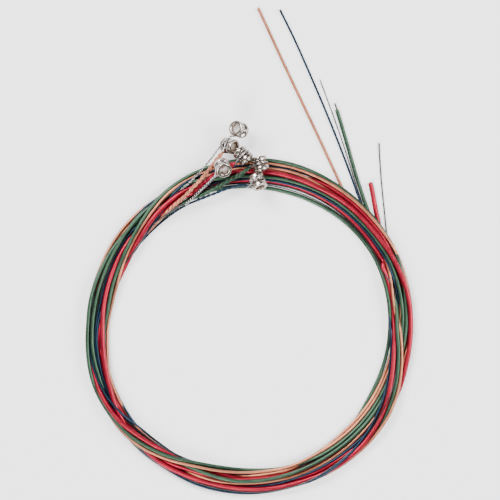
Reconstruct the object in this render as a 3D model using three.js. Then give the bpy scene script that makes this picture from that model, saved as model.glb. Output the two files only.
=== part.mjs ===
// A coiled set of six ball-end steel guitar strings: four wound strings with coloured coated
// wrap wire and two plain strings. Millimetres, +Z up, the coil lying flat on z = 0.
import * as THREE from 'three';

// ---- driving dimensions ----
const TURNS = 3.72;                          // turns that each string makes in the coil
const PACKING = 0.75;                        // share of a coil's section that is wire
const COIL_CENTRE = new THREE.Vector3(0, -20.3, 0);
const COIL_OUTER_RADIUS = 45.0;
const COIL_HEIGHT = 2.6;
const COIL_GAP = 0.2;                        // radial room between neighbouring coils
const COIL_CHAMFER = 0.3;
const COIL_CHAMFER_SHARE = 0.33;             // of a narrow coil's width, at most
const COIL_SEGMENTS = 40;

const BALL_RADIUS = 2.1;                     // grooved barrel at the end of each string
const BALL_LENGTH = 3.8;
const BALL_HOLE_RADIUS = 1.25;
const BALL_CHAMFER = 0.2;
const BALL_SEGMENTS = 18;
const GROOVE_RADIUS = 1.6;
const GROOVE_BOTTOM_WIDTH = 1.1;
const GROOVE_TOP_WIDTH = 1.6;

const LOOP_CLEARANCE = 0.1;                  // running room between a loop and its groove
const LOOP_REACH = 3.5;                      // from the barrel's axis to the loop's closed end
const LOOP_NECK_GAP = 0.2;                   // between the loop's two legs where they end
const LOOP_ARC_STEPS = 12;
const LOOP_TUBE_STEPS = 26;
const TWIST_GAP = 0.5;                       // from the loop's ends to the start of the twist

const TUBE_SIDES = 8;
const STEP_PER_DIAMETER = 3;                 // a tube has one step every 3 diameters
const MAX_STEPS = 12;
const CORE_CLEARANCE = 0.03;                 // between a core wire and the wrap round it
const CORE_PROUD = 0.1;                      // how far a cut core stands out of its wrap

// ---- colours ----
const COLOURS = {
  red: 0xdc4655,
  green: 0x5f8c6e,
  orange: 0xe6a888,
  blue: 0x2d5078,
  steel: 0x8c8a8c,
  nickel: 0xd2c8be,
};

// ---- the six strings, from the thinnest ----
// diameter and core are wire sizes, twist is the lock twist's outside diameter. The ball's axis
// is given by its azimuth and its tilt from +Z in degrees, exit is the way the wire leaves it.
// twistRoute and tailRoute are points along the middle of the wire, coil side last.
const STRINGS = [
  {
    name: 'string_1', colour: 'steel', diameter: 0.305, core: 0.305, twist: 0.6,
    ball: { centre: [-3.0, 32.4, 6.7], azimuth: 162, tilt: 33, exit: [-0.73, -0.6, -0.33] },
    twistRoute: [[-8.0, 27.9, 4.7], [-10.4, 24.7, 4.1], [-13.4, 21.1, 3.5], [-17.2, 17.2, 3.3]],
    tailRoute: [
      [18.9, 45.9, 0.3], [21.1, 40.0, 0.2], [24.2, 31.3, 0.2],
      [26.6, 24.0, 0.2], [29.0, 16.4, 0.2],
    ],
  },
  {
    name: 'string_2', colour: 'steel', diameter: 0.41, core: 0.41, twist: 0.8,
    ball: { centre: [-7.3, 22.1, 7.75], azimuth: -65, tilt: 32, exit: [-0.65, -0.7, -0.26] },
    twistRoute: [[-10.8, 18.3, 5.6], [-12.6, 16.7, 5.0], [-15.0, 14.4, 4.8], [-17.4, 12.1, 4.6]],
    tailRoute: [[34.8, 28.9, 0.4], [35.1, 23.4, 0.25], [35.6, 17.0, 0.25], [36.5, 8.0, 0.25]],
  },
  {
    name: 'string_3', colour: 'blue', diameter: 0.61, core: 0.34, twist: 0.85,
    ball: { centre: [2.15, 18.4, 5.8], azimuth: -68, tilt: 68, exit: [-0.85, -0.44, -0.27] },
    twistRoute: [[-2.6, 17.2, 3.6], [-6.0, 16.2, 3.4], [-10.0, 14.5, 3.4], [-14.4, 12.2, 3.4]],
    tailRoute: [
      [8.1, 64.8, 0.5], [12.8, 55.1, 0.35], [20.3, 37.8, 0.35],
      [26.0, 23.4, 0.35], [28.7, 15.9, 0.35],
    ],
  },
  {
    name: 'string_4', colour: 'orange', diameter: 0.81, core: 0.4, twist: 1.2,
    ball: { centre: [-5.5, 28.05, 3.3], azimuth: -14, tilt: 50, exit: [-0.61, -0.58, 0.54] },
    twistRoute: [[-8.9, 24.4, 5.4], [-10.7, 21.9, 5.0], [-13.9, 18.2, 4.9], [-17.8, 14.2, 4.7]],
    tailRoute: [[2.2, 65.3, 0.6], [9.9, 48.6, 0.45], [18.1, 31.3, 0.45], [24.0, 18.6, 0.45]],
  },
  {
    name: 'string_5', colour: 'green', diameter: 1.07, core: 0.45, twist: 1.35,
    ball: { centre: [2.75, 23.2, 5.2], azimuth: -76, tilt: 86, exit: [-0.93, -0.23, -0.28] },
    twistRoute: [[-2.2, 20.6, 3.9], [-6.3, 18.4, 3.7], [-10.2, 16.2, 3.7], [-13.2, 14.7, 3.7]],
    tailRoute: [[23.4, 37.9, 0.7], [26.0, 29.2, 0.57], [28.3, 21.1, 0.57], [30.4, 14.6, 0.57]],
    bareTip: 1.8,
  },
  {
    name: 'string_6', colour: 'red', diameter: 1.35, core: 0.5, twist: 1.6,
    ball: { centre: [-1.85, 25.4, 5.7], azimuth: -46, tilt: 82, exit: [-0.7, -0.66, -0.28] },
    twistRoute: [[-6.1, 22.3, 4.2], [-9.2, 20.5, 3.7], [-12.6, 17.9, 3.7], [-15.2, 15.6, 3.7]],
    tailRoute: [[32.5, 18.2, 0.8], [33.2, 14.6, 0.71], [33.9, 10.8, 0.71]],
  },
];

// The coils lie one inside the other, in the order in which the strings lie side by side.
const COIL_ORDER = ['string_4', 'string_6', 'string_5', 'string_3', 'string_2', 'string_1'];

// ---- materials ----
const FINISHES = {
  steel: { roughness: 0.3, metalness: 1.0 },
  nickel: { roughness: 0.2, metalness: 1.0 },
  coated: { roughness: 0.4, metalness: 0.35 },
};

function material(colour) {
  const finish = FINISHES[colour] ?? FINISHES.coated;
  return new THREE.MeshStandardMaterial({ color: COLOURS[colour], ...finish });
}

function part(name, geometry, colour) {
  const mesh = new THREE.Mesh(geometry, material(colour));
  mesh.name = name;
  return mesh;
}

// ---- shapes ----
// A closed outline turned about Z. The points are [radius, height].
function revolve(outline, segments) {
  const points = [...outline, outline[0]].map(([radius, height]) => new THREE.Vector2(radius, height));
  return new THREE.LatheGeometry(points, segments).rotateX(Math.PI / 2);
}

function roundSection(radius, bore = 0) {
  const corner = (index, size) => {
    const angle = (index / TUBE_SIDES) * 2 * Math.PI;
    return new THREE.Vector2(size * Math.cos(angle), size * Math.sin(angle));
  };
  const ring = (size) => Array.from({ length: TUBE_SIDES }, (_, index) => corner(index, size));
  const shape = new THREE.Shape(ring(radius));
  if (bore > 0) {
    shape.holes.push(new THREE.Path(ring(bore)));
  }
  return shape;
}

function tube(path, diameter, steps, bore = 0) {
  const section = roundSection(diameter / 2, bore / 2);
  return new THREE.ExtrudeGeometry(section, { steps, bevelEnabled: false, extrudePath: path });
}

function stepsAlong(path, diameter) {
  return Math.min(MAX_STEPS, Math.ceil(path.getLength() / (STEP_PER_DIAMETER * diameter)));
}

function vectors(points) {
  return points.map((point) => new THREE.Vector3(...point));
}

// ---- sub-parts ----
function ballEnd() {
  const half = BALL_LENGTH / 2;
  const side = [
    [BALL_HOLE_RADIUS, half],
    [BALL_RADIUS - BALL_CHAMFER, half],
    [BALL_RADIUS, half - BALL_CHAMFER],
    [BALL_RADIUS, GROOVE_TOP_WIDTH / 2],
    [GROOVE_RADIUS, GROOVE_BOTTOM_WIDTH / 2],
  ];
  const mirrored = side.map(([radius, height]) => [radius, -height]);
  return revolve([...mirrored, ...side.reverse()], BALL_SEGMENTS);
}

// The core wire's bight round the groove, in the local XY plane, closed towards local +X.
function coreLoop(string) {
  const radius = GROOVE_RADIUS + LOOP_CLEARANCE + string.core / 2;
  const away = Math.acos(radius / LOOP_REACH);
  const neck = (string.core + LOOP_NECK_GAP) / 2;
  const points = [new THREE.Vector3(LOOP_REACH, neck, 0)];
  for (let step = 0; step <= LOOP_ARC_STEPS; step += 1) {
    const angle = away + (step / LOOP_ARC_STEPS) * 2 * (Math.PI - away);
    points.push(new THREE.Vector3(radius * Math.cos(angle), radius * Math.sin(angle), 0));
  }
  points.push(new THREE.Vector3(LOOP_REACH, -neck, 0));
  return tube(new THREE.CatmullRomCurve3(points), string.core, LOOP_TUBE_STEPS);
}

// The frame at a ball end: local Z is the barrel's axis and local X the way the wire leaves.
function endFrame({ centre, azimuth, tilt, exit }) {
  const turn = THREE.MathUtils.degToRad(azimuth);
  const lean = THREE.MathUtils.degToRad(tilt);
  const across = Math.sin(lean);
  const axis = new THREE.Vector3(across * Math.cos(turn), across * Math.sin(turn), Math.cos(lean));
  const out = new THREE.Vector3(...exit);
  out.addScaledVector(axis, -out.dot(axis)).normalize();
  const side = new THREE.Vector3().crossVectors(axis, out);
  const frame = new THREE.Group();
  frame.position.set(...centre);
  frame.quaternion.setFromRotationMatrix(new THREE.Matrix4().makeBasis(out, side, axis));
  return { frame, out };
}

function lockTwist(string, out) {
  const start = new THREE.Vector3(...string.ball.centre).addScaledVector(out, LOOP_REACH + TWIST_GAP);
  const path = new THREE.CatmullRomCurve3([start, ...vectors(string.twistRoute)]);
  return tube(path, string.twist, stepsAlong(path, string.twist));
}

// A tail is the wrap wire as a sleeve on its core, or plain wire. It runs from the tip to the coil.
function tailParts(string) {
  const points = vectors(string.tailRoute);
  const path = new THREE.CatmullRomCurve3(points);
  const steps = stepsAlong(path, string.diameter);
  const wound = string.core < string.diameter;
  if (!wound) {
    return [part(`${string.name}_tail`, tube(path, string.diameter, steps), string.colour)];
  }
  const bore = string.core + 2 * CORE_CLEARANCE;
  const wrap = tube(path, string.diameter, steps, bore);
  const tipway = points[0].clone().sub(points[1]).normalize();
  const tip = points[0].clone().addScaledVector(tipway, string.bareTip ?? CORE_PROUD);
  const corePath = new THREE.CatmullRomCurve3([tip, ...points]);
  const core = tube(corePath, string.core, steps + 1);
  return [
    part(`${string.name}_wrap_tail`, wrap, string.colour),
    part(`${string.name}_core_wire`, core, 'steel'),
  ];
}

// One string's turns as a closed ring. Its width follows from the wire that it holds.
function coilWidth(string) {
  const wire = TURNS * Math.PI * (string.diameter / 2) ** 2;
  return wire / PACKING / COIL_HEIGHT;
}

function coil(outerRadius, width) {
  const chamfer = Math.min(COIL_CHAMFER, width * COIL_CHAMFER_SHARE);
  const inner = outerRadius - width;
  const outline = [
    [inner, chamfer],
    [inner + chamfer, 0],
    [outerRadius - chamfer, 0],
    [outerRadius, chamfer],
    [outerRadius, COIL_HEIGHT - chamfer],
    [outerRadius - chamfer, COIL_HEIGHT],
    [inner + chamfer, COIL_HEIGHT],
    [inner, COIL_HEIGHT - chamfer],
  ];
  return revolve(outline, COIL_SEGMENTS);
}

// ---- assembly ----
const group = new THREE.Group();

for (const string of STRINGS) {
  const { frame, out } = endFrame(string.ball);
  frame.add(part(`${string.name}_ball_end`, ballEnd(), 'nickel'));
  frame.add(part(`${string.name}_core_loop`, coreLoop(string), 'steel'));
  group.add(frame);
  group.add(part(`${string.name}_lock_twist`, lockTwist(string, out), string.colour));
  group.add(...tailParts(string));
}

let outerRadius = COIL_OUTER_RADIUS;
for (const name of COIL_ORDER) {
  const string = STRINGS.find((candidate) => candidate.name === name);
  const width = coilWidth(string);
  const ring = part(`${name}_coil`, coil(outerRadius, width), string.colour);
  ring.position.copy(COIL_CENTRE);
  group.add(ring);
  outerRadius -= width + COIL_GAP;
}

export default group;
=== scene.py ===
import math

import bpy
import numpy as np
from mathutils import Matrix, Vector


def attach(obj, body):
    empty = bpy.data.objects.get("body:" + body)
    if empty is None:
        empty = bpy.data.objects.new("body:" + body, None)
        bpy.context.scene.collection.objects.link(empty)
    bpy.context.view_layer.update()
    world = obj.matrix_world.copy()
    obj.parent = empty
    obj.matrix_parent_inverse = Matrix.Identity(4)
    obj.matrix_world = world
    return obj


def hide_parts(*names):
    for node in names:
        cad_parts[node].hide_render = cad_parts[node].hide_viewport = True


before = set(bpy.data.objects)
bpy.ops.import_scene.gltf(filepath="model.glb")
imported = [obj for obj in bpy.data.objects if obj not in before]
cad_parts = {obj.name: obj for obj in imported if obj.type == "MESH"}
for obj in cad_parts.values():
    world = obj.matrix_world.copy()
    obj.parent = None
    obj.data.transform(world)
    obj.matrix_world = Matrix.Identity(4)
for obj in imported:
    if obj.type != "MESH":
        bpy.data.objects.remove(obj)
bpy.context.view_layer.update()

# A coiled set of six ball-end guitar strings. Lengths are in metres and angles in degrees,
# counted anticlockwise round the coil from +X and on past 360 from one turn to the next.

# ---- the camera ----
VIEW_HEIGHT = 1.3
VIEW_WIDTH = 0.135

# ---- the ball ends and the wires round them ----
BARREL_LENGTH = 0.0038
BARREL_RADIUS = 0.0021
BARREL_SEGMENTS = 72
GROOVE_RADIUS = 0.0016
LOOP_CLEARANCE = 0.0001                    # between the groove and the wire round it
LOOP_REACH = 0.0029                        # from a barrel's axis to where its wire closes
LOOP_END = LOOP_REACH + 0.0006             # and to where this wire ends, in the lock twist
LOOP_STEPS = 24
LEG_GAP = 0.00006                          # between the wire's two legs where it closes
LEG_CLOSING = 0.6                          # how much nearer they are at the end
TWIST_START = LOOP_REACH - 0.0002          # and to where its lock twist starts

# ---- the coil ----
COIL_CENTRE = (0.0, -0.0203)
COIL_RADIUS = 0.0415
TURN = 360.0
TAIL_TURN = 4 * TURN                       # the tails leave the coil in its fifth turn
TAIL_STEPS = 60                            # steps along a tail's way back below the band
TURNS_HELD = 5
STATION = 3.0                              # angle from one station of the coil to the next
STATIONS_PER_TURN = int(TURN / STATION)
CENTRELINE_STEP = 0.0010

# How wide the coil's band is: angle, inner radius, outer radius.
BAND = [
    (0, 0.0375, 0.0437), (30, 0.0380, 0.0442), (45, 0.0377, 0.0444), (60, 0.0370, 0.0447),
    (75, 0.0364, 0.0455), (90, 0.0363, 0.0454), (105, 0.0366, 0.0453), (120, 0.0367, 0.0432),
    (135, 0.0366, 0.0430), (150, 0.0364, 0.0434), (165, 0.0367, 0.0437), (180, 0.0382, 0.0439),
    (195, 0.0392, 0.0450), (210, 0.0396, 0.0458), (225, 0.0402, 0.0451), (240, 0.0394, 0.0448),
    (255, 0.0388, 0.0455), (270, 0.0388, 0.0456), (285, 0.0395, 0.0450), (300, 0.0386, 0.0453),
    (315, 0.0379, 0.0452), (330, 0.0372, 0.0447), (345, 0.0372, 0.0438), (360, 0.0375, 0.0437),
]

# The strings cross from the outside of the band to the inside, on top of it, at three places.
CROSSINGS = [(478, 520), (912, 962), (1387, 1438)]
CROSSING_HEIGHT = 0.0048
CROSSING_SEARCH = (-12, -20)               # a string turns inwards between here and here, from
                                           # the crossing's start and from its end
CROSSING_RISE = 8                          # half of the angle a string climbs onto the others in
CROSSING_FALL = 18
LAYER_HEIGHTS = (0.0008, 0.0013, 0.0018)   # before, between and after the first two crossings
LAYER_STEPS = ((500, 540), (945, 985))     # where one layer gives way to the next
TOP_HEIGHT = 0.0036
LOW_HEIGHT = 0.0006
FADE = 10                                  # angle to reach the top or the low height in
TUCK_IN = 0.0008                           # how far from the band's edges a low string stays
BAND_SLACK = 0.0003                        # how far a string may stand out of the band's edge
TAILS_UNDER = (14, 26, 62, 76)             # where the tails lift the band from below
TAILS_LIFT = 0.0014
TAILS_DIVE = (1446, 1462)                  # where the tails go down to the floor
TWIST_SINK = 20                            # angle a string sinks into the band in, after its twist
TAIL_JOIN = (6, 10, 14)                    # after the tail's line meets the band: the last lane,
                                           # the tail's first spot, and where the tail is held

# How the strings settle on each other, round by round.
ROUNDS = 1000
WARM_ROUNDS = 800                          # all moves but the pushes are smaller after these
COOL = 0.3
LANE_PULL = 0.04                           # the part of its way to its lane a string is pulled
FALL = 0.00003
STIFFNESS = 0.3
PUSHES = 3
PUSH = 0.55                                # the part of an overlap that one push takes out
LAST_ROUNDS = 30                           # smoothing and pushing apart in turns, nothing else
LANE_SMOOTHING = 3                         # how often a lane is smoothed before the rounds start

# Each string: how often it is smoothed at a time, its surface, the diameters of its wire, core
# and lock twist, how far the twist runs on along the string and, on a plain string, the twist's
# pitch; the barrel's centre, azimuth, tilt and the way the wire leaves it; the routes of the
# lock twist and of the tail, both given from the ball's side. "lanes" is where the string lies
# in the band (angle, radius), "top" the stretches where it lies on the others and "low" those
# below them. "bare_tip" is how far the core wire stands out of the end of the wrap.
STRINGS = [
    dict(
        name="string_1", ease=3, slot="plain_steel", wire=0.000305, core=0.000305, twist=0.0006,
        runs_on=0.0020, twist_pitch=0.0021, centre=(-0.0030, 0.0324, 0.0067), azimuth=162, tilt=33,
        exit=(-0.73, -0.60, -0.33),
        twist_route=[(-0.0080, 0.0279, 0.0047), (-0.0104, 0.0247, 0.0041),
                     (-0.0134, 0.0211, 0.0035), (-0.0172, 0.0172, 0.0033)],
        tail_route=[(0.0290, 0.0164, 0.0002), (0.0266, 0.0240, 0.0002),
                    (0.0242, 0.0313, 0.0002), (0.0211, 0.0400, 0.0002),
                    (0.0189, 0.0459, 0.0003)],
        lanes=[(125, 0.0387), (150, 0.0394), (200, 0.0424), (270, 0.0440), (380, 0.0441),
               (440, 0.0434), (470, 0.0419), (480, 0.0405), (500, 0.0378), (515, 0.0370),
               (540, 0.0385), (590, 0.0407), (640, 0.0398), (740, 0.0402), (800, 0.0400),
               (870, 0.0424), (900, 0.0439), (918, 0.0446), (930, 0.0430), (945, 0.0409),
               (965, 0.0396), (1000, 0.0400), (1050, 0.0400), (1100, 0.0400), (1160, 0.0371),
               (1230, 0.0424), (1260, 0.0430), (1300, 0.0441), (1340, 0.0445), (1383, 0.0448),
               (1402, 0.0436), (1410, 0.0425), (1420, 0.0410), (1430, 0.0397), (1440, 0.0391)],
        low=[(130, 470), (540, 905), (960, 1300)],
        top=[(1330, 1385)],
    ),
    dict(
        name="string_2", ease=2, slot="plain_steel", wire=0.00041, core=0.00041, twist=0.0008,
        runs_on=0.0, twist_pitch=0.0015, centre=(-0.0073, 0.0221, 0.00775), azimuth=-65, tilt=32,
        exit=(-0.65, -0.70, -0.26),
        twist_route=[(-0.0108, 0.0183, 0.0056), (-0.0126, 0.0167, 0.0050),
                     (-0.0150, 0.0144, 0.0048), (-0.0174, 0.0121, 0.0046)],
        tail_route=[(0.0365, 0.0080, 0.00025), (0.0356, 0.0170, 0.00025),
                    (0.0351, 0.0234, 0.00025), (0.0348, 0.0289, 0.0004)],
        lanes=[(118, 0.0379), (150, 0.0389), (200, 0.0420), (270, 0.0437), (380, 0.0440),
               (440, 0.0436), (470, 0.0422), (480, 0.0410), (490, 0.0396), (500, 0.0381),
               (515, 0.0370), (540, 0.0384), (590, 0.0406), (640, 0.0392), (690, 0.0400),
               (740, 0.0412), (770, 0.0412), (800, 0.0405), (870, 0.0420), (900, 0.0426),
               (912, 0.0440), (920, 0.0448), (930, 0.0434), (940, 0.0418), (950, 0.0403),
               (965, 0.0397), (1000, 0.0402), (1050, 0.0398), (1075, 0.0396), (1100, 0.0396),
               (1130, 0.0390), (1160, 0.0389), (1200, 0.0398), (1230, 0.0410), (1260, 0.0416),
               (1270, 0.0423), (1300, 0.0432), (1340, 0.0446), (1380, 0.0444), (1402, 0.0432),
               (1410, 0.0421), (1420, 0.0405), (1430, 0.0392), (1440, 0.0387)],
        low=[(130, 470), (540, 860), (960, 1085)],
        top=[(870, 905), (1095, 1290), (1330, 1385)],
    ),
    dict(
        name="string_3", ease=1, slot="coated_blue", wire=0.00061, core=0.00034, twist=0.00085,
        runs_on=0.0018, centre=(0.00215, 0.0184, 0.0058), azimuth=-68, tilt=68,
        exit=(-0.85, -0.44, -0.27),
        twist_route=[(-0.0026, 0.0174, 0.0036), (-0.0062, 0.0165, 0.0032),
                     (-0.0101, 0.0150, 0.0030), (-0.0144, 0.0133, 0.0030)],
        tail_route=[(0.0287, 0.0159, 0.00035), (0.0260, 0.0234, 0.00035),
                    (0.0203, 0.0378, 0.00035), (0.0128, 0.0551, 0.00035),
                    (0.0081, 0.0648, 0.0005)],
        lanes=[(119, 0.0366), (140, 0.0374), (155, 0.0392), (170, 0.0400), (180, 0.0405),
               (190, 0.0410), (200, 0.0415), (215, 0.0424), (270, 0.0432), (355, 0.0424),
               (380, 0.0429), (410, 0.0435), (440, 0.0432), (460, 0.0424), (477, 0.0409),
               (485, 0.0392), (490, 0.0381), (500, 0.0371), (510, 0.0367), (540, 0.0389),
               (570, 0.0404), (590, 0.0410), (640, 0.0406), (690, 0.0402), (740, 0.0415),
               (800, 0.0418), (870, 0.0425), (898, 0.0438), (913, 0.0447), (922, 0.0436),
               (932, 0.0420), (942, 0.0406), (962, 0.0399), (1000, 0.0402), (1050, 0.0400),
               (1075, 0.0400), (1100, 0.0408), (1130, 0.0400), (1160, 0.0392), (1230, 0.0401),
               (1260, 0.0409), (1270, 0.0416), (1300, 0.0432), (1340, 0.0451), (1383, 0.0450),
               (1390, 0.0442), (1400, 0.0429), (1410, 0.0414), (1420, 0.0398), (1430, 0.0385),
               (1440, 0.0379), (1450, 0.0377), (1458, 0.0381)],
        low=[(372, 424), (535, 700), (960, 1085)],
        top=[(172, 222), (432, 478), (1095, 1385)],
    ),
    dict(
        name="string_4", ease=1, slot="coated_orange", wire=0.00081, core=0.0004, twist=0.0012,
        runs_on=0.0080, centre=(-0.0055, 0.02805, 0.0033), azimuth=-14, tilt=50,
        exit=(-0.61, -0.58, 0.54),
        twist_route=[(-0.0089, 0.0244, 0.0054), (-0.0107, 0.0219, 0.0050),
                     (-0.0139, 0.0182, 0.0049), (-0.0178, 0.0142, 0.0047)],
        tail_route=[(0.0240, 0.0186, 0.00045), (0.0181, 0.0313, 0.00045),
                    (0.0099, 0.0486, 0.00045), (0.0022, 0.0653, 0.0006)],
        lanes=[(122, 0.0377), (129, 0.0370), (150, 0.0381), (200, 0.0408), (270, 0.0424),
               (300, 0.0419), (330, 0.0424), (355, 0.0431), (380, 0.0437), (410, 0.0437),
               (440, 0.0440), (468, 0.0427), (480, 0.0416), (490, 0.0402), (500, 0.0390),
               (510, 0.0378), (520, 0.0371), (530, 0.0376), (540, 0.0385), (555, 0.0397),
               (584, 0.0408), (630, 0.0402), (660, 0.0389), (690, 0.0382), (740, 0.0398),
               (770, 0.0410), (800, 0.0414), (845, 0.0424), (870, 0.0432), (900, 0.0436),
               (934, 0.0452), (945, 0.0440), (955, 0.0427), (965, 0.0412), (975, 0.0402),
               (990, 0.0404), (1020, 0.0397), (1050, 0.0396), (1075, 0.0406), (1100, 0.0419),
               (1130, 0.0420), (1160, 0.0420), (1230, 0.0420), (1270, 0.0425), (1340, 0.0446),
               (1385, 0.0449), (1408, 0.0447), (1416, 0.0438), (1425, 0.0424), (1435, 0.0408),
               (1440, 0.0401), (1445, 0.0396), (1450, 0.0389), (1460, 0.0381)],
        top=[(255, 478), (520, 548), (650, 745), (855, 885), (962, 1055), (1150, 1175)],
        low=[(150, 243), (560, 645), (765, 845), (893, 905), (1200, 1330)],
    ),
    dict(
        name="string_5", ease=1, slot="coated_green", wire=0.00107, core=0.00045, twist=0.00135,
        runs_on=0.0037, centre=(0.00275, 0.0232, 0.0052), azimuth=-76, tilt=86,
        exit=(-0.93, -0.23, -0.28),
        twist_route=[(-0.0022, 0.0206, 0.0039), (-0.0063, 0.0184, 0.0037),
                     (-0.0102, 0.0162, 0.0037), (-0.0132, 0.0147, 0.0037)],
        tail_route=[(0.0304, 0.0146, 0.00057), (0.0283, 0.0211, 0.00057),
                    (0.0260, 0.0292, 0.00057), (0.0234, 0.0379, 0.0007)],
        bare_tip=0.0018,
        lanes=[(118, 0.0377), (150, 0.0398), (165, 0.0412), (185, 0.0428), (200, 0.0427),
               (230, 0.0416), (270, 0.0414), (300, 0.0408), (330, 0.0410), (355, 0.0419),
               (380, 0.0427), (410, 0.0437), (440, 0.0452), (455, 0.0446), (470, 0.0432),
               (480, 0.0423), (490, 0.0409), (500, 0.0398), (510, 0.0386), (525, 0.0378),
               (540, 0.0388), (555, 0.0402), (590, 0.0412), (630, 0.0400), (660, 0.0384),
               (690, 0.0376), (720, 0.0378), (770, 0.0378), (800, 0.0368), (830, 0.0385),
               (870, 0.0418), (885, 0.0430), (900, 0.0437), (910, 0.0441), (915, 0.0446),
               (924, 0.0456), (932, 0.0452), (940, 0.0439), (950, 0.0421), (960, 0.0406),
               (970, 0.0397), (980, 0.0392), (990, 0.0394), (1000, 0.0402), (1030, 0.0400),
               (1075, 0.0410), (1100, 0.0416), (1130, 0.0409), (1160, 0.0401), (1230, 0.0413),
               (1260, 0.0427), (1300, 0.0435), (1340, 0.0440), (1385, 0.0446), (1405, 0.0444),
               (1415, 0.0428), (1425, 0.0410), (1435, 0.0397), (1440, 0.0394), (1448, 0.0385)],
        top=[(255, 360), (430, 478), (690, 805), (850, 912), (962, 1000), (1095, 1275)],
        low=[(150, 240), (540, 670)],
    ),
    dict(
        name="string_6", ease=1, slot="coated_red", wire=0.00135, core=0.0005, twist=0.0016,
        runs_on=0.0, centre=(-0.00185, 0.0254, 0.0057), azimuth=-46, tilt=82,
        exit=(-0.70, -0.66, -0.28),
        twist_route=[(-0.0061, 0.0223, 0.0042), (-0.0092, 0.0205, 0.0037),
                     (-0.0126, 0.0179, 0.0037), (-0.0152, 0.0156, 0.0037)],
        tail_route=[(0.0339, 0.0108, 0.00071), (0.0332, 0.0146, 0.00071),
                    (0.0325, 0.0182, 0.0008)],
        lanes=[(116, 0.0386), (150, 0.0393), (165, 0.0403), (190, 0.0411), (230, 0.0422),
               (270, 0.0429), (300, 0.0432), (355, 0.0430), (380, 0.0425), (410, 0.0424),
               (440, 0.0413), (470, 0.0408), (485, 0.0404), (490, 0.0396), (500, 0.0383),
               (510, 0.0373), (520, 0.0370), (540, 0.0393), (555, 0.0418), (575, 0.0427),
               (595, 0.0424), (630, 0.0410), (690, 0.0415), (715, 0.0434), (740, 0.0434),
               (770, 0.0440), (785, 0.0426), (800, 0.0410), (815, 0.0405), (840, 0.0403),
               (870, 0.0406), (885, 0.0421), (895, 0.0437), (905, 0.0448), (920, 0.0452),
               (930, 0.0441), (940, 0.0425), (950, 0.0409), (963, 0.0401), (978, 0.0408),
               (995, 0.0422), (1020, 0.0428), (1050, 0.0427), (1075, 0.0416), (1100, 0.0405),
               (1130, 0.0403), (1160, 0.0397), (1200, 0.0394), (1230, 0.0393), (1260, 0.0398),
               (1270, 0.0401), (1300, 0.0422), (1340, 0.0437), (1370, 0.0442), (1383, 0.0452),
               (1387, 0.0454), (1397, 0.0446), (1407, 0.0431), (1417, 0.0413), (1427, 0.0396),
               (1438, 0.0386), (1450, 0.0384)],
        top=[(340, 478), (1222, 1290), (1320, 1385)],
        low=[(150, 238), (535, 890), (978, 1195)],
    ),
]


# ---- small helpers ----
def ramp(low, high, value):
    """0 below low, 1 above high, and smooth between."""
    part = np.clip((value - low) / (high - low), 0.0, 1.0)
    return part * part * (3.0 - 2.0 * part)


def polar(point):
    """A point's angle and radius round the coil's centre."""
    east = point[0] - COIL_CENTRE[0]
    north = point[1] - COIL_CENTRE[1]
    return math.degrees(math.atan2(north, east)), math.hypot(east, north)


def distance_along(line):
    """How far each point of the line is from its start."""
    return np.concatenate([[0.0], np.cumsum(np.linalg.norm(np.diff(line, axis=0), axis=1))])


def length_of(line):
    return float(np.linalg.norm(np.diff(line, axis=0), axis=1).sum())


def resample(points, step):
    """The same line with evenly spaced points."""
    points = np.asarray(points, float)
    along = distance_along(points)
    count = max(int(round(along[-1] / step)), 2)
    at = np.linspace(0.0, along[-1], count + 1)
    return np.stack([np.interp(at, along, points[:, axis]) for axis in range(3)], axis=1)


def spline(points, per_span=12):
    """A smooth line through the points."""
    points = np.asarray(points, float)
    ends = np.vstack([2 * points[0] - points[1], points, 2 * points[-1] - points[-2]])
    line = []
    for index in range(1, len(ends) - 2):
        before, here, there, after = ends[index - 1:index + 3]
        for step in range(per_span):
            t = step / per_span
            line.append(0.5 * (
                2 * here + (there - before) * t
                + (2 * before - 5 * here + 4 * there - after) * t ** 2
                + (3 * here - before - 3 * there + after) * t ** 3
            ))
    line.append(points[-1])
    return np.array(line)


def smooth(values, cells):
    """Moves these cells of a row halfway to the mean of their neighbours."""
    mean = 0.5 * (values[cells - 1] + values[cells + 1])
    values[cells] += 0.5 * (mean - values[cells])


# ---- how the strings lie in the coil ----
def tail_run(string):
    """The tail's straight line, followed back below the band to where it is nearest the centre."""
    first = Vector(string["tail_route"][0])
    second = Vector(string["tail_route"][1])
    back = first - second
    back.z = 0.0
    back.normalize()
    steps = range(TAIL_STEPS + 1)
    spots = [polar(first + back * (COIL_RADIUS * step / TAIL_STEPS)) for step in steps]
    nearest = min(steps, key=lambda step: spots[step][1])
    return [(angle + TAIL_TURN, radius) for angle, radius in reversed(spots[:nearest + 1])]


def layer_height(angles):
    """The height of a string that lies in the middle of the band."""
    low, middle, high = LAYER_HEIGHTS
    first, second = LAYER_STEPS
    height = low + (middle - low) * ramp(*first, angles) + (high - middle) * ramp(*second, angles)
    under = ramp(*TAILS_UNDER[:2], angles % TURN)
    return height + TAILS_LIFT * under * (1 - ramp(*TAILS_UNDER[2:], angles % TURN))


def by_station(table):
    """The table with a row for each station and a column for each string and turn."""
    return table.reshape(len(STRINGS) * TURNS_HELD, STATIONS_PER_TURN).T


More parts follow.
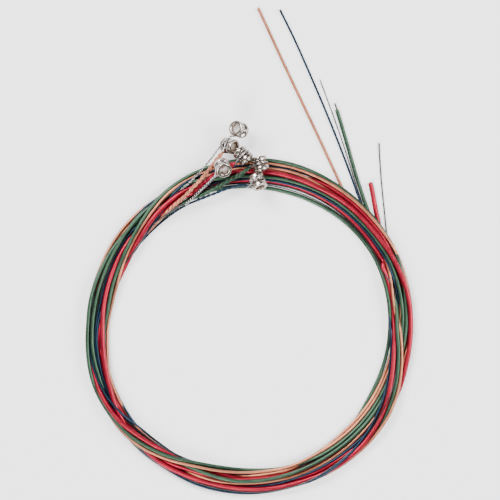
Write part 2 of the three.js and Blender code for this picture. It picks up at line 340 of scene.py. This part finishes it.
class Bundle:
    """Where the strings run, as tables: a row for each string, a column for each station."""

    def __init__(self):
        self.angles = np.arange(TURNS_HELD * STATIONS_PER_TURN) * STATION
        self.shape = (len(STRINGS), len(self.angles))
        self.radius = np.full(self.shape, 1.0)
        self.height = np.zeros(self.shape)
        self.lane = np.zeros(self.shape)
        self.half = np.full(self.shape, 1e-6)
        self.tuck = np.zeros(self.shape)
        self.used = np.zeros(self.shape, bool)
        self.twisted = np.zeros(self.shape, bool)
        self.held = np.zeros(self.shape, bool)
        for row, string in enumerate(STRINGS):
            self.place(row, string)
        self.free = self.used & ~self.held
        self.set_limits()

    def place(self, row, string):
        """Puts one string in its lanes."""
        angles = self.angles
        lead = [polar(point) + (point[2],) for point in string["twist_route"]]
        bearings, radii, heights = zip(*lead)
        start = bearings[-1]
        tail = tail_run(string)
        join = tail[0][0]
        last_lane, first_spot, held_from = (join + angle for angle in TAIL_JOIN)
        lanes = [(start, radii[-1])]
        lanes += [spot for spot in string["lanes"] if start + 1 < spot[0] < last_lane]
        lanes += [spot for spot in tail if spot[0] > first_spot]
        span = (angles >= bearings[0]) & (angles <= tail[-1][0])
        own = span & (angles >= start)
        before = span & (angles < start)

        self.lane[row, own] = np.interp(angles[own], *zip(*lanes))
        self.lane[row, before] = np.interp(angles[before], bearings, radii)
        self.height[row, own] = self.wish(row, string, span, start, heights[-1])[own]
        self.height[row, before] = np.interp(angles[before], bearings, heights)
        self.half[row, own] = string["wire"] / 2
        self.half[row, before] = string["twist"] / 2
        self.used[row] = span
        self.twisted[row] = before
        self.held[row] = before | (span & (angles > held_from))
        for _ in range(LANE_SMOOTHING):
            smooth(self.lane[row], np.flatnonzero(span)[1:-1])
        self.radius[row, span] = self.lane[row, span]

    def wish(self, row, string, span, start, start_height):
        """The heights that one string starts from, and how far it is tucked in where it is low."""
        angles = self.angles
        own = span & (angles >= start)
        high = layer_height(angles)
        for begin, end in string["top"]:
            rise = ramp(begin - FADE, begin, angles) * (1 - ramp(end, end + FADE, angles))
            high = np.maximum(high, high + (TOP_HEIGHT - LAYER_HEIGHTS[1]) * rise)
        for begin, end in string["low"]:
            fall = ramp(begin - FADE, begin, angles) * (1 - ramp(end, end + FADE, angles))
            high = high * (1 - fall) + LOW_HEIGHT * fall
            self.tuck[row, own] += fall[own] * TUCK_IN
        for begin, end in CROSSINGS:
            near = span & (angles > begin + CROSSING_SEARCH[0]) & (angles < end + CROSSING_SEARCH[1])
            if not near.any():
                continue
            turn_in = angles[near][np.argmax(self.lane[row, near])]
            rise = ramp(turn_in - CROSSING_RISE, turn_in + CROSSING_RISE, angles)
            rise = rise * (1 - ramp(end, end + CROSSING_FALL, angles))
            high = np.maximum(high, CROSSING_HEIGHT * rise)
        dive = ramp(*TAILS_DIVE, angles)
        high = high * (1 - dive) + string["wire"] / 2 * dive
        sink = ramp(start, start + TWIST_SINK, angles)
        return start_height * (1 - sink) + high * sink

    def set_limits(self):
        """How near each two strings may come at a station, and which of them gives way."""
        free = by_station(self.free)
        used = by_station(self.used)
        thick = by_station(self.half)
        self.limit = thick[:, :, None] + thick[:, None, :]
        self.pair = used[:, :, None] & used[:, None, :]
        self.pair &= ~np.eye(used.shape[1], dtype=bool)[None]
        self.below = free[:, :, None] & by_station(self.twisted)[:, None, :]
        area = thick ** 2
        share = area[:, None, :] / (area[:, :, None] + area[:, None, :])
        share = np.where(free[:, None, :], share, 1.0)
        self.share = share * free[:, :, None]
        self.linked = self.used[:, :-2] & self.used[:, 1:-1] & self.used[:, 2:]
        inner, outer = (
            np.interp(self.angles % TURN, [row[0] for row in BAND], [row[column] for row in BAND])
            for column in (1, 2)
        )
        self.nearest = inner + self.half - BAND_SLACK + self.tuck
        self.furthest = outer - self.half + BAND_SLACK - self.tuck

    def straighten(self, strength):
        """Bends every string back towards the straight line between its neighbour stations."""
        for table in (self.radius, self.height):
            bend = np.zeros(self.shape)
            mean = 0.5 * (table[:, :-2] + table[:, 2:])
            bend[:, 1:-1] = np.where(self.linked, mean - table[:, 1:-1], 0.0)
            table[self.free] += strength * bend[self.free]

    def push_apart(self):
        """Moves strings that overlap away from each other, the thinner one further."""
        free = self.free
        for _ in range(PUSHES):
            across = by_station(self.radius)
            across = across[:, :, None] - across[:, None, :]
            above = by_station(self.height)
            above = above[:, :, None] - above[:, None, :]
            above = np.where(self.below, -np.abs(above), above)
            apart = np.sqrt(across ** 2 + above ** 2) + 1e-9
            over = np.where(self.pair, np.maximum(self.limit - apart, 0.0), 0.0)
            push = PUSH * over / apart * self.share
            touching = np.sqrt(np.maximum((over > 0).sum(axis=2), 1))
            self.radius += ((push * across).sum(axis=2) / touching).T.reshape(self.shape)
            self.height += ((push * above).sum(axis=2) / touching).T.reshape(self.shape)
            self.height[free] = np.maximum(self.height, self.half)[free]
            self.radius[free] = np.clip(self.radius, self.nearest, self.furthest)[free]

    def ease(self):
        """Smooths each string by itself."""
        for row, string in enumerate(STRINGS):
            cells = np.flatnonzero(self.free[row])[1:-1]
            for _ in range(string["ease"]):
                smooth(self.radius[row], cells)
                smooth(self.height[row], cells)

    def settle(self):
        """Lets the strings sink onto each other, drawn to their lanes, then evens them out."""
        free = self.free
        for turn in range(ROUNDS):
            heat = 1.0 if turn < WARM_ROUNDS else COOL
            self.radius[free] += LANE_PULL * heat * (self.lane[free] - self.radius[free])
            self.height[free] -= FALL * heat
            self.straighten(STIFFNESS * heat)
            self.push_apart()
        for _ in range(LAST_ROUNDS):
            self.ease()
            self.push_apart()
        self.ease()

    def centreline(self, row, string):
        """The string's own line, from the end of its lock twist to the tip of its tail."""
        start = polar(string["twist_route"][-1])[0] + STATION / 2
        leave = polar(string["tail_route"][0])[0] + TAIL_TURN - STATION / 2
        cells = np.flatnonzero(self.used[row] & (self.angles > start) & (self.angles < leave))
        turn = np.radians(self.angles[cells])
        line = np.stack([
            COIL_CENTRE[0] + self.radius[row, cells] * np.cos(turn),
            COIL_CENTRE[1] + self.radius[row, cells] * np.sin(turn),
            self.height[row, cells],
        ], axis=1)
        route = spline(np.vstack([string["twist_route"][-1], line, string["tail_route"]]))
        route = resample(route, CENTRELINE_STEP)
        route[:, 2] = np.maximum(route[:, 2], string["wire"] / 2)
        return route


# ---- meshes ----
def mesh_piece(name, verts, faces, material):
    mesh = bpy.data.meshes.new(name)
    mesh.from_pydata(verts, [], faces)
    mesh.materials.append(material)
    mesh.shade_smooth()
    mesh.update()
    piece = bpy.data.objects.new(name, mesh)
    bpy.context.scene.collection.objects.link(piece)
    return piece


def frames_along(line, up):
    """Unit vectors to the line's side, and square to it and to that side."""
    along = np.gradient(line, axis=0)
    along /= np.linalg.norm(along, axis=1)[:, None]
    side = np.cross(along, up)
    side /= np.linalg.norm(side, axis=1)[:, None]
    return side, np.cross(side, along)


def sweep(line, sides, size, up=(0.0, 0.0, 1.0)):
    """A closed tube round the line. size(distance, angle) gives its radius."""
    line = np.asarray(line, float)
    side, square = frames_along(line, np.array(up))
    angle = np.arange(sides) * (2 * math.pi / sides)
    reach = size(distance_along(line)[:, None], angle[None, :])
    verts = (
        line[:, None, :]
        + (reach * np.cos(angle))[:, :, None] * side[:, None, :]
        + (reach * np.sin(angle))[:, :, None] * square[:, None, :]
    ).reshape(-1, 3)
    last = (len(line) - 1) * sides
    ring = np.arange(0, last, sides)[:, None]
    here = np.arange(sides)[None, :]
    there = (here + 1) % sides
    quads = np.stack([ring + here, ring + there, ring + sides + there, ring + sides + here], axis=2)
    faces = quads.reshape(-1, 4).tolist()
    faces.append(list(range(sides - 1, -1, -1)))
    faces.append(list(range(last, last + sides)))
    return verts.tolist(), faces


END_WIDTH = 0.8                            # a tube's width at its very end, and what it gains
END_GAIN = 0.2


def ends_rounded(length, edge):
    """A factor that rounds the first and last bit of a tube."""
    def factor(distance):
        near = np.minimum(distance, length - distance)
        return END_WIDTH + END_GAIN * np.sqrt(np.clip(near / edge, 0.0, 1.0))
    return factor


def wound(radius, pitch, depth, length):
    """The outside of a string with round wrap wire laid side by side."""
    soft = ends_rounded(length, pitch)

    def size(distance, angle):
        crest = np.abs(np.sin(math.pi * distance / pitch - angle / 2))
        return (radius - depth * (1 - crest)) * soft(distance)
    return size


def plain(radius, length):
    """The outside of a bare wire."""
    soft = ends_rounded(length, radius)

    def size(distance, _angle):
        return radius * soft(distance)
    return size


# ---- materials ----
PATCH_SCALE = 260.0
PATCH_DETAIL = 3.0
PATCH_EDGES = (0.35, 0.62)                 # the noise below and above which a patch is even
SHEEN_RANGE = (0.85, 1.2)                  # how the patches change the roughness
GRAIN_DETAIL = 2.0
GRAIN_DEPTH = 0.00002


def finish_material(name, colour, metallic, roughness, dull=0.75, grain=900.0, bump=0.08):
    """A metal finish with soft patches in its colour and sheen, and a fine surface grain."""
    material = bpy.data.materials.new(name)
    material.use_nodes = True
    nodes = material.node_tree.nodes
    link = material.node_tree.links.new
    shader = nodes["Principled BSDF"]
    shader.inputs["Metallic"].default_value = metallic
    place = nodes.new("ShaderNodeTexCoord")

    patches = nodes.new("ShaderNodeTexNoise")
    patches.inputs["Scale"].default_value = PATCH_SCALE
    patches.inputs["Detail"].default_value = PATCH_DETAIL
    link(place.outputs["Object"], patches.inputs["Vector"])
    tint = nodes.new("ShaderNodeValToRGB")
    tint.color_ramp.elements[0].position = PATCH_EDGES[0]
    tint.color_ramp.elements[0].color = (*[part * dull for part in colour], 1.0)
    tint.color_ramp.elements[1].position = PATCH_EDGES[1]
    tint.color_ramp.elements[1].color = (*colour, 1.0)
    link(patches.outputs["Fac"], tint.inputs["Fac"])
    link(tint.outputs["Color"], shader.inputs["Base Color"])

    sheen = nodes.new("ShaderNodeMapRange")
    sheen.inputs["To Min"].default_value = roughness * SHEEN_RANGE[0]
    sheen.inputs["To Max"].default_value = roughness * SHEEN_RANGE[1]
    link(patches.outputs["Fac"], sheen.inputs["Value"])
    link(sheen.outputs["Result"], shader.inputs["Roughness"])

    fine = nodes.new("ShaderNodeTexNoise")
    fine.inputs["Scale"].default_value = grain
    fine.inputs["Detail"].default_value = GRAIN_DETAIL
    link(place.outputs["Object"], fine.inputs["Vector"])
    relief = nodes.new("ShaderNodeBump")
    relief.inputs["Strength"].default_value = bump
    relief.inputs["Distance"].default_value = GRAIN_DEPTH
    link(fine.outputs["Fac"], relief.inputs["Height"])
    link(relief.outputs["Normal"], shader.inputs["Normal"])
    return material


MATERIALS = {
    # The same steel wire as two painted copies. The plain strings' wire and the cut core tips get a
    # near-black copy, which is painted shade. The bights and lock-twist strands get a brighter, lit
    # copy. The two differ only in how light and shade are painted into them, not in the steel.
    "plain_steel": finish_material("steel_painted_shaded", (0.050, 0.046, 0.050), 0.9, 0.28),
    "lit_steel": finish_material("lit_steel", (0.30, 0.285, 0.29), 1.0, 0.24),
    "coated_blue": finish_material("blue_coating", (0.006, 0.020, 0.042), 0.75, 0.36),
    "coated_orange": finish_material("orange_coating", (0.42, 0.155, 0.085), 0.75, 0.38),
    "coated_green": finish_material("green_coating", (0.030, 0.068, 0.040), 0.75, 0.38),
    "coated_red": finish_material("red_coating", (0.27, 0.006, 0.022), 0.75, 0.36),
    "ball_nickel": finish_material(
        "nickel_plate", (0.43, 0.375, 0.33), 1.0, 0.25, dull=0.72, grain=2600.0, bump=0.10
    ),
}


# ---- the camera ----
def build_camera():
    lens = bpy.data.cameras.new("camera")
    lens.sensor_width = 36.0
    lens.lens = lens.sensor_width * VIEW_HEIGHT / VIEW_WIDTH
    lens.clip_start = 0.01
    lens.clip_end = 10.0
    camera = bpy.data.objects.new("camera", lens)
    camera.location = (0.0, 0.0, VIEW_HEIGHT)
    bpy.context.scene.collection.objects.link(camera)
    bpy.context.scene.camera = camera


# ---- the strings' own wires ----
# Wrap wire: pitch, depth of the valleys between its turns, rings of the mesh for each turn.
WRAPS = {
    "string_3": (0.00020, 0.000004, 3),
    "string_4": (0.000205, 0.000009, 3),
    "string_5": (0.00031, 0.000020, 4),
    "string_6": (0.00042, 0.000028, 4),
}
WIRE_SIDES = 8
PLAIN_STEP = 0.0006                        # from one ring of a plain string's mesh to the next


def wire_piece(string, line):
    name = string["name"]
    radius = string["wire"] / 2
    if name in WRAPS:
        pitch, depth, rings = WRAPS[name]
        fine = resample(line, pitch / rings)
        size = wound(radius, pitch, depth, length_of(fine))
    else:
        fine = resample(line, PLAIN_STEP)
        size = plain(radius, length_of(fine))
    verts, faces = sweep(fine, WIRE_SIDES, size)
    piece = mesh_piece(f"{name}_wire", verts, faces, MATERIALS[string["slot"]])
    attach(piece, "strings")
    if name in WRAPS:
        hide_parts(f"{name}_coil", f"{name}_wrap_tail")
    else:
        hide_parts(f"{name}_coil", f"{name}_tail")
    return piece


# ---- ball ends and the wires round them ----
def barrel_frame(string):
    """The barrel's own axes: x the way the wire leaves, z along the barrel."""
    lean = math.radians(string["tilt"])
    turn = math.radians(string["azimuth"])
    axis = Vector((math.sin(lean) * math.cos(turn), math.sin(lean) * math.sin(turn), math.cos(lean)))
    out = Vector(string["exit"])
    out = (out - axis * out.dot(axis)).normalized()
    side = axis.cross(out)
    frame_here = Matrix((out, side, axis)).transposed().to_4x4()
    frame_here.translation = Vector(string["centre"])
    return frame_here


def barrel_piece(string, place):
    """A turned barrel: countersunk hole, rounded rim, flange, and a groove at its middle."""
    end = BARREL_LENGTH / 2
    side = [
        (0.00125, end - 0.00014), (0.00129, end - 0.00005), (0.00138, end), (0.00184, end),
        (0.00198, end - 0.00004), (0.00207, end - 0.00014), (BARREL_RADIUS, end - 0.00028),
        (BARREL_RADIUS, 0.00088), (0.00207, 0.00080), (0.00195, 0.00070), (0.00176, 0.00058),
        (0.00165, 0.00044), (0.00161, 0.00026), (GROOVE_RADIUS, 0.0),
    ]
    outline = side + [(radius, -height) for radius, height in reversed(side[:-1])]
    verts = []
    for index in range(BARREL_SEGMENTS):
        turn = 2 * math.pi * index / BARREL_SEGMENTS
        for radius, height in outline:
            spot = Vector((radius * math.cos(turn), radius * math.sin(turn), height))
            verts.append(place @ spot)
    count = len(outline)
    faces = []
    for index in range(BARREL_SEGMENTS):
        base = index * count
        other = ((index + 1) % BARREL_SEGMENTS) * count
        for step in range(count):
            after = (step + 1) % count
            faces.append((base + after, other + after, other + step, base + step))
    piece = mesh_piece(f"{string['name']}_barrel", verts, faces, MATERIALS["ball_nickel"])
    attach(piece, f"ball_{string['name'][-1]}")
    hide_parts(f"{string['name']}_ball_end")
    return piece


BIGHT_SIDES = 12
BIGHT_STEP = 0.00015


def bight_piece(string, place):
    """The core wire round the barrel's groove, its two legs drawn together."""
    core = string["core"] / 2
    radius = GROOVE_RADIUS + LOOP_CLEARANCE + core
    away = math.acos(radius / LOOP_REACH)
    neck = core + LEG_GAP / 2
    points = [(LOOP_END, neck * LEG_CLOSING, 0.0), (LOOP_REACH, neck, 0.0)]
    for step in range(LOOP_STEPS + 1):
        angle = away + step / LOOP_STEPS * 2 * (math.pi - away)
        points.append((radius * math.cos(angle), radius * math.sin(angle), 0.0))
    points += [(LOOP_REACH, -neck, 0.0), (LOOP_END, -neck * LEG_CLOSING, 0.0)]
    line = resample(spline([place @ Vector(point) for point in points], 6), BIGHT_STEP)
    up = place.to_3x3() @ Vector((0.0, 0.0, 1.0))
    verts, faces = sweep(line, BIGHT_SIDES, plain(core, length_of(line)), up)
    piece = mesh_piece(f"{string['name']}_bight", verts, faces, MATERIALS["lit_steel"])
    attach(piece, "strings")
    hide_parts(f"{string['name']}_core_loop")
    return piece


# ---- lock twists ----
SLEEVE_SIDES = 24
SLEEVE_STEP = 0.00008
LUMP = 0.0030                              # pitch of the twisted core under a sleeve
SLEEVE_WIDTH = (0.50, 0.50)                # a sleeve's least radius and what its lumps add
SLEEVE_MOUTH = (0.55, 0.45, 0.0009)        # how narrow it starts, what it gains, and how soon
SLEEVE_TAPER = 0.0012                      # how far it narrows down to the string
SLEEVE_RIB_PITCH = 1.3                     # as a part of the wrap's own pitch
SLEEVE_RIB_DEPTH = 0.3
SLEEVE_OVER_WIRE = 1.02                    # its end's radius as a part of the string's
STRAND_SIDES = 10
STRAND_STEP = 0.00006
STRAND_FADE = 0.0008                       # how soon two strands run together into the string


def sleeve_piece(string, route):
    """A wound string's lock twist: a lumpy sleeve of wrap wire on the twisted core."""
    route = resample(route, SLEEVE_STEP)
    length = length_of(route)
    outer = string["twist"] / 2
    wire = string["wire"] / 2
    pitch = WRAPS[string["name"]][0]
    least, lumps = SLEEVE_WIDTH
    mouth, gain, opened = SLEEVE_MOUTH

    def size(distance, angle):
        wide = np.abs(np.cos(angle - 2 * math.pi * distance / LUMP))
        lumpy = outer * (least + lumps * wide)
        taper = ramp(length - SLEEVE_TAPER, length, distance)
        body = lumpy * (1 - taper) + wire * SLEEVE_OVER_WIRE * taper
        ribs = np.abs(np.sin(math.pi * distance / (SLEEVE_RIB_PITCH * pitch) - angle / 2))
        opening = mouth + gain * ramp(0.0, opened, distance)
        return body * opening - SLEEVE_RIB_DEPTH * pitch * (1 - ribs)

    verts, faces = sweep(route, SLEEVE_SIDES, size)
    return mesh_piece(f"{string['name']}_overwind", verts, faces, MATERIALS[string["slot"]])


def strand_pieces(string, route):
    """A plain string's lock twist: two wires wound round each other."""
    route = resample(route, STRAND_STEP)
    length = length_of(route)
    wire = string["wire"] / 2
    distance = np.linspace(0.0, length, len(route))
    side, square = frames_along(route, np.array((0.0, 0.0, 1.0)))
    phase = 2 * math.pi * distance / string["twist_pitch"]
    swing = (string["twist"] / 2 - wire) * (1 - ramp(length - STRAND_FADE, length, distance))
    made = []
    for index, shift in enumerate((0.0, math.pi)):
        strand = (
            route
            + (swing * np.cos(phase + shift))[:, None] * side
            + (swing * np.sin(phase + shift))[:, None] * square
        )
        verts, faces = sweep(strand, STRAND_SIDES, plain(wire, length_of(strand)))
        name = f"{string['name']}_strand_{index + 1}"
        made.append(mesh_piece(name, verts, faces, MATERIALS["lit_steel"]))
    return made


def twist_pieces(string, place, line):
    start = place @ Vector((TWIST_START, 0.0, 0.0))
    route = spline([start, *[Vector(point) for point in string["twist_route"]]])
    extra = int(string["runs_on"] / CENTRELINE_STEP)
    if extra:
        route = np.vstack([route, line[1:extra + 1]])
    if string["name"] in WRAPS:
        made = [sleeve_piece(string, route)]
    else:
        made = strand_pieces(string, route)
    for piece in made:
        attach(piece, "strings")
        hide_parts(f"{string['name']}_lock_twist")
    return made


# ---- cut tips ----
TIP_SIDES = 14
TIP_STEP = 0.00005
TIP_INSIDE = 0.0010                        # how far back into the wrap the tip's piece starts
TIP_PROUD = 0.00012                        # how far a core wire stands out of its wrap


def core_tip_piece(string, line):
    """The end of the core wire, where it stands out of its wrap."""
    out = line[-1] - line[-2]
    out /= np.linalg.norm(out)
    proud = string.get("bare_tip", TIP_PROUD)
    tip = [line[-1] - out * TIP_INSIDE, line[-1], line[-1] + out * proud]
    route = resample(tip, TIP_STEP)
    verts, faces = sweep(route, TIP_SIDES, plain(string["core"] / 2, length_of(route)))
    # The cut core tip takes the steel copy that is painted dark as shade.
    piece = mesh_piece(f"{string['name']}_core_tip", verts, faces, MATERIALS["plain_steel"])
    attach(piece, "strings")
    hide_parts(f"{string['name']}_core_wire")
    return piece


# ---- the whole set ----
def build_strings():
    bundle = Bundle()
    bundle.settle()
    for row, string in enumerate(STRINGS):
        line = bundle.centreline(row, string)
        cord = wire_piece(string, line)
        place = barrel_frame(string)
        parts = [barrel_piece(string, place), bight_piece(string, place)]
        parts += twist_pieces(string, place, line)
        if string["name"] in WRAPS:
            parts.append(core_tip_piece(string, line))


# ---- studio ----
# The sky is white at the horizon and dark overhead: position and colour of the fade's two ends.
SKY_FADE = ((0.10, (1.0, 1.0, 1.0, 1.0)), (0.30, (0.06, 0.06, 0.06, 1.0)))
SKY_STRENGTH = 1.0
FLOOR_SIZE = 4.0
FLOOR_COLOUR = (0.64, 0.64, 0.64, 1.0)
FLOOR_ROUGHNESS = 0.8
FLOOR_GLOW = 0.7
LAMP_SIZE = 0.6
LAMPS = (
    ("key", (-0.45, 0.60, 0.90), 34.0),
    ("fill", (0.80, 0.00, 0.75), 22.0),
    ("rim", (-0.25, -0.75, 0.75), 18.0),
)


def build_sky():
    world = bpy.data.worlds.new("studio")
    bpy.context.scene.world = world
    world.use_nodes = True
    nodes = world.node_tree.nodes
    link = world.node_tree.links.new
    sky = nodes.new("ShaderNodeTexCoord")
    height = nodes.new("ShaderNodeSeparateXYZ")
    fade = nodes.new("ShaderNodeValToRGB")
    for element, (position, colour) in zip(fade.color_ramp.elements, SKY_FADE):
        element.position = position
        element.color = colour
    link(sky.outputs["Generated"], height.inputs["Vector"])
    link(height.outputs["Z"], fade.inputs["Fac"])
    link(fade.outputs["Color"], nodes["Background"].inputs["Color"])
    nodes["Background"].inputs["Strength"].default_value = SKY_STRENGTH


def build_floor():
    bpy.ops.mesh.primitive_plane_add(size=FLOOR_SIZE, location=(0.0, 0.0, 0.0))
    floor = bpy.context.object
    floor.name = "floor"
    pale = bpy.data.materials.new("pale_floor")
    pale.use_nodes = True
    matt = pale.node_tree.nodes["Principled BSDF"]
    matt.inputs["Base Color"].default_value = FLOOR_COLOUR
    matt.inputs["Roughness"].default_value = FLOOR_ROUGHNESS
    matt.inputs["Emission Color"].default_value = (1.0, 1.0, 1.0, 1.0)
    matt.inputs["Emission Strength"].default_value = FLOOR_GLOW
    floor.data.materials.append(pale)


def build_lamps():
    for name, spot, power in LAMPS:
        light = bpy.data.lights.new(name, "AREA")
        light.shape = "DISK"
        light.size = LAMP_SIZE
        light.energy = power
        lamp = bpy.data.objects.new(name, light)
        lamp.location = spot
        lamp.rotation_euler = (-Vector(spot)).to_track_quat("-Z", "Y").to_euler()
        bpy.context.scene.collection.objects.link(lamp)


build_camera()
build_strings()
build_sky()
build_floor()
build_lamps()
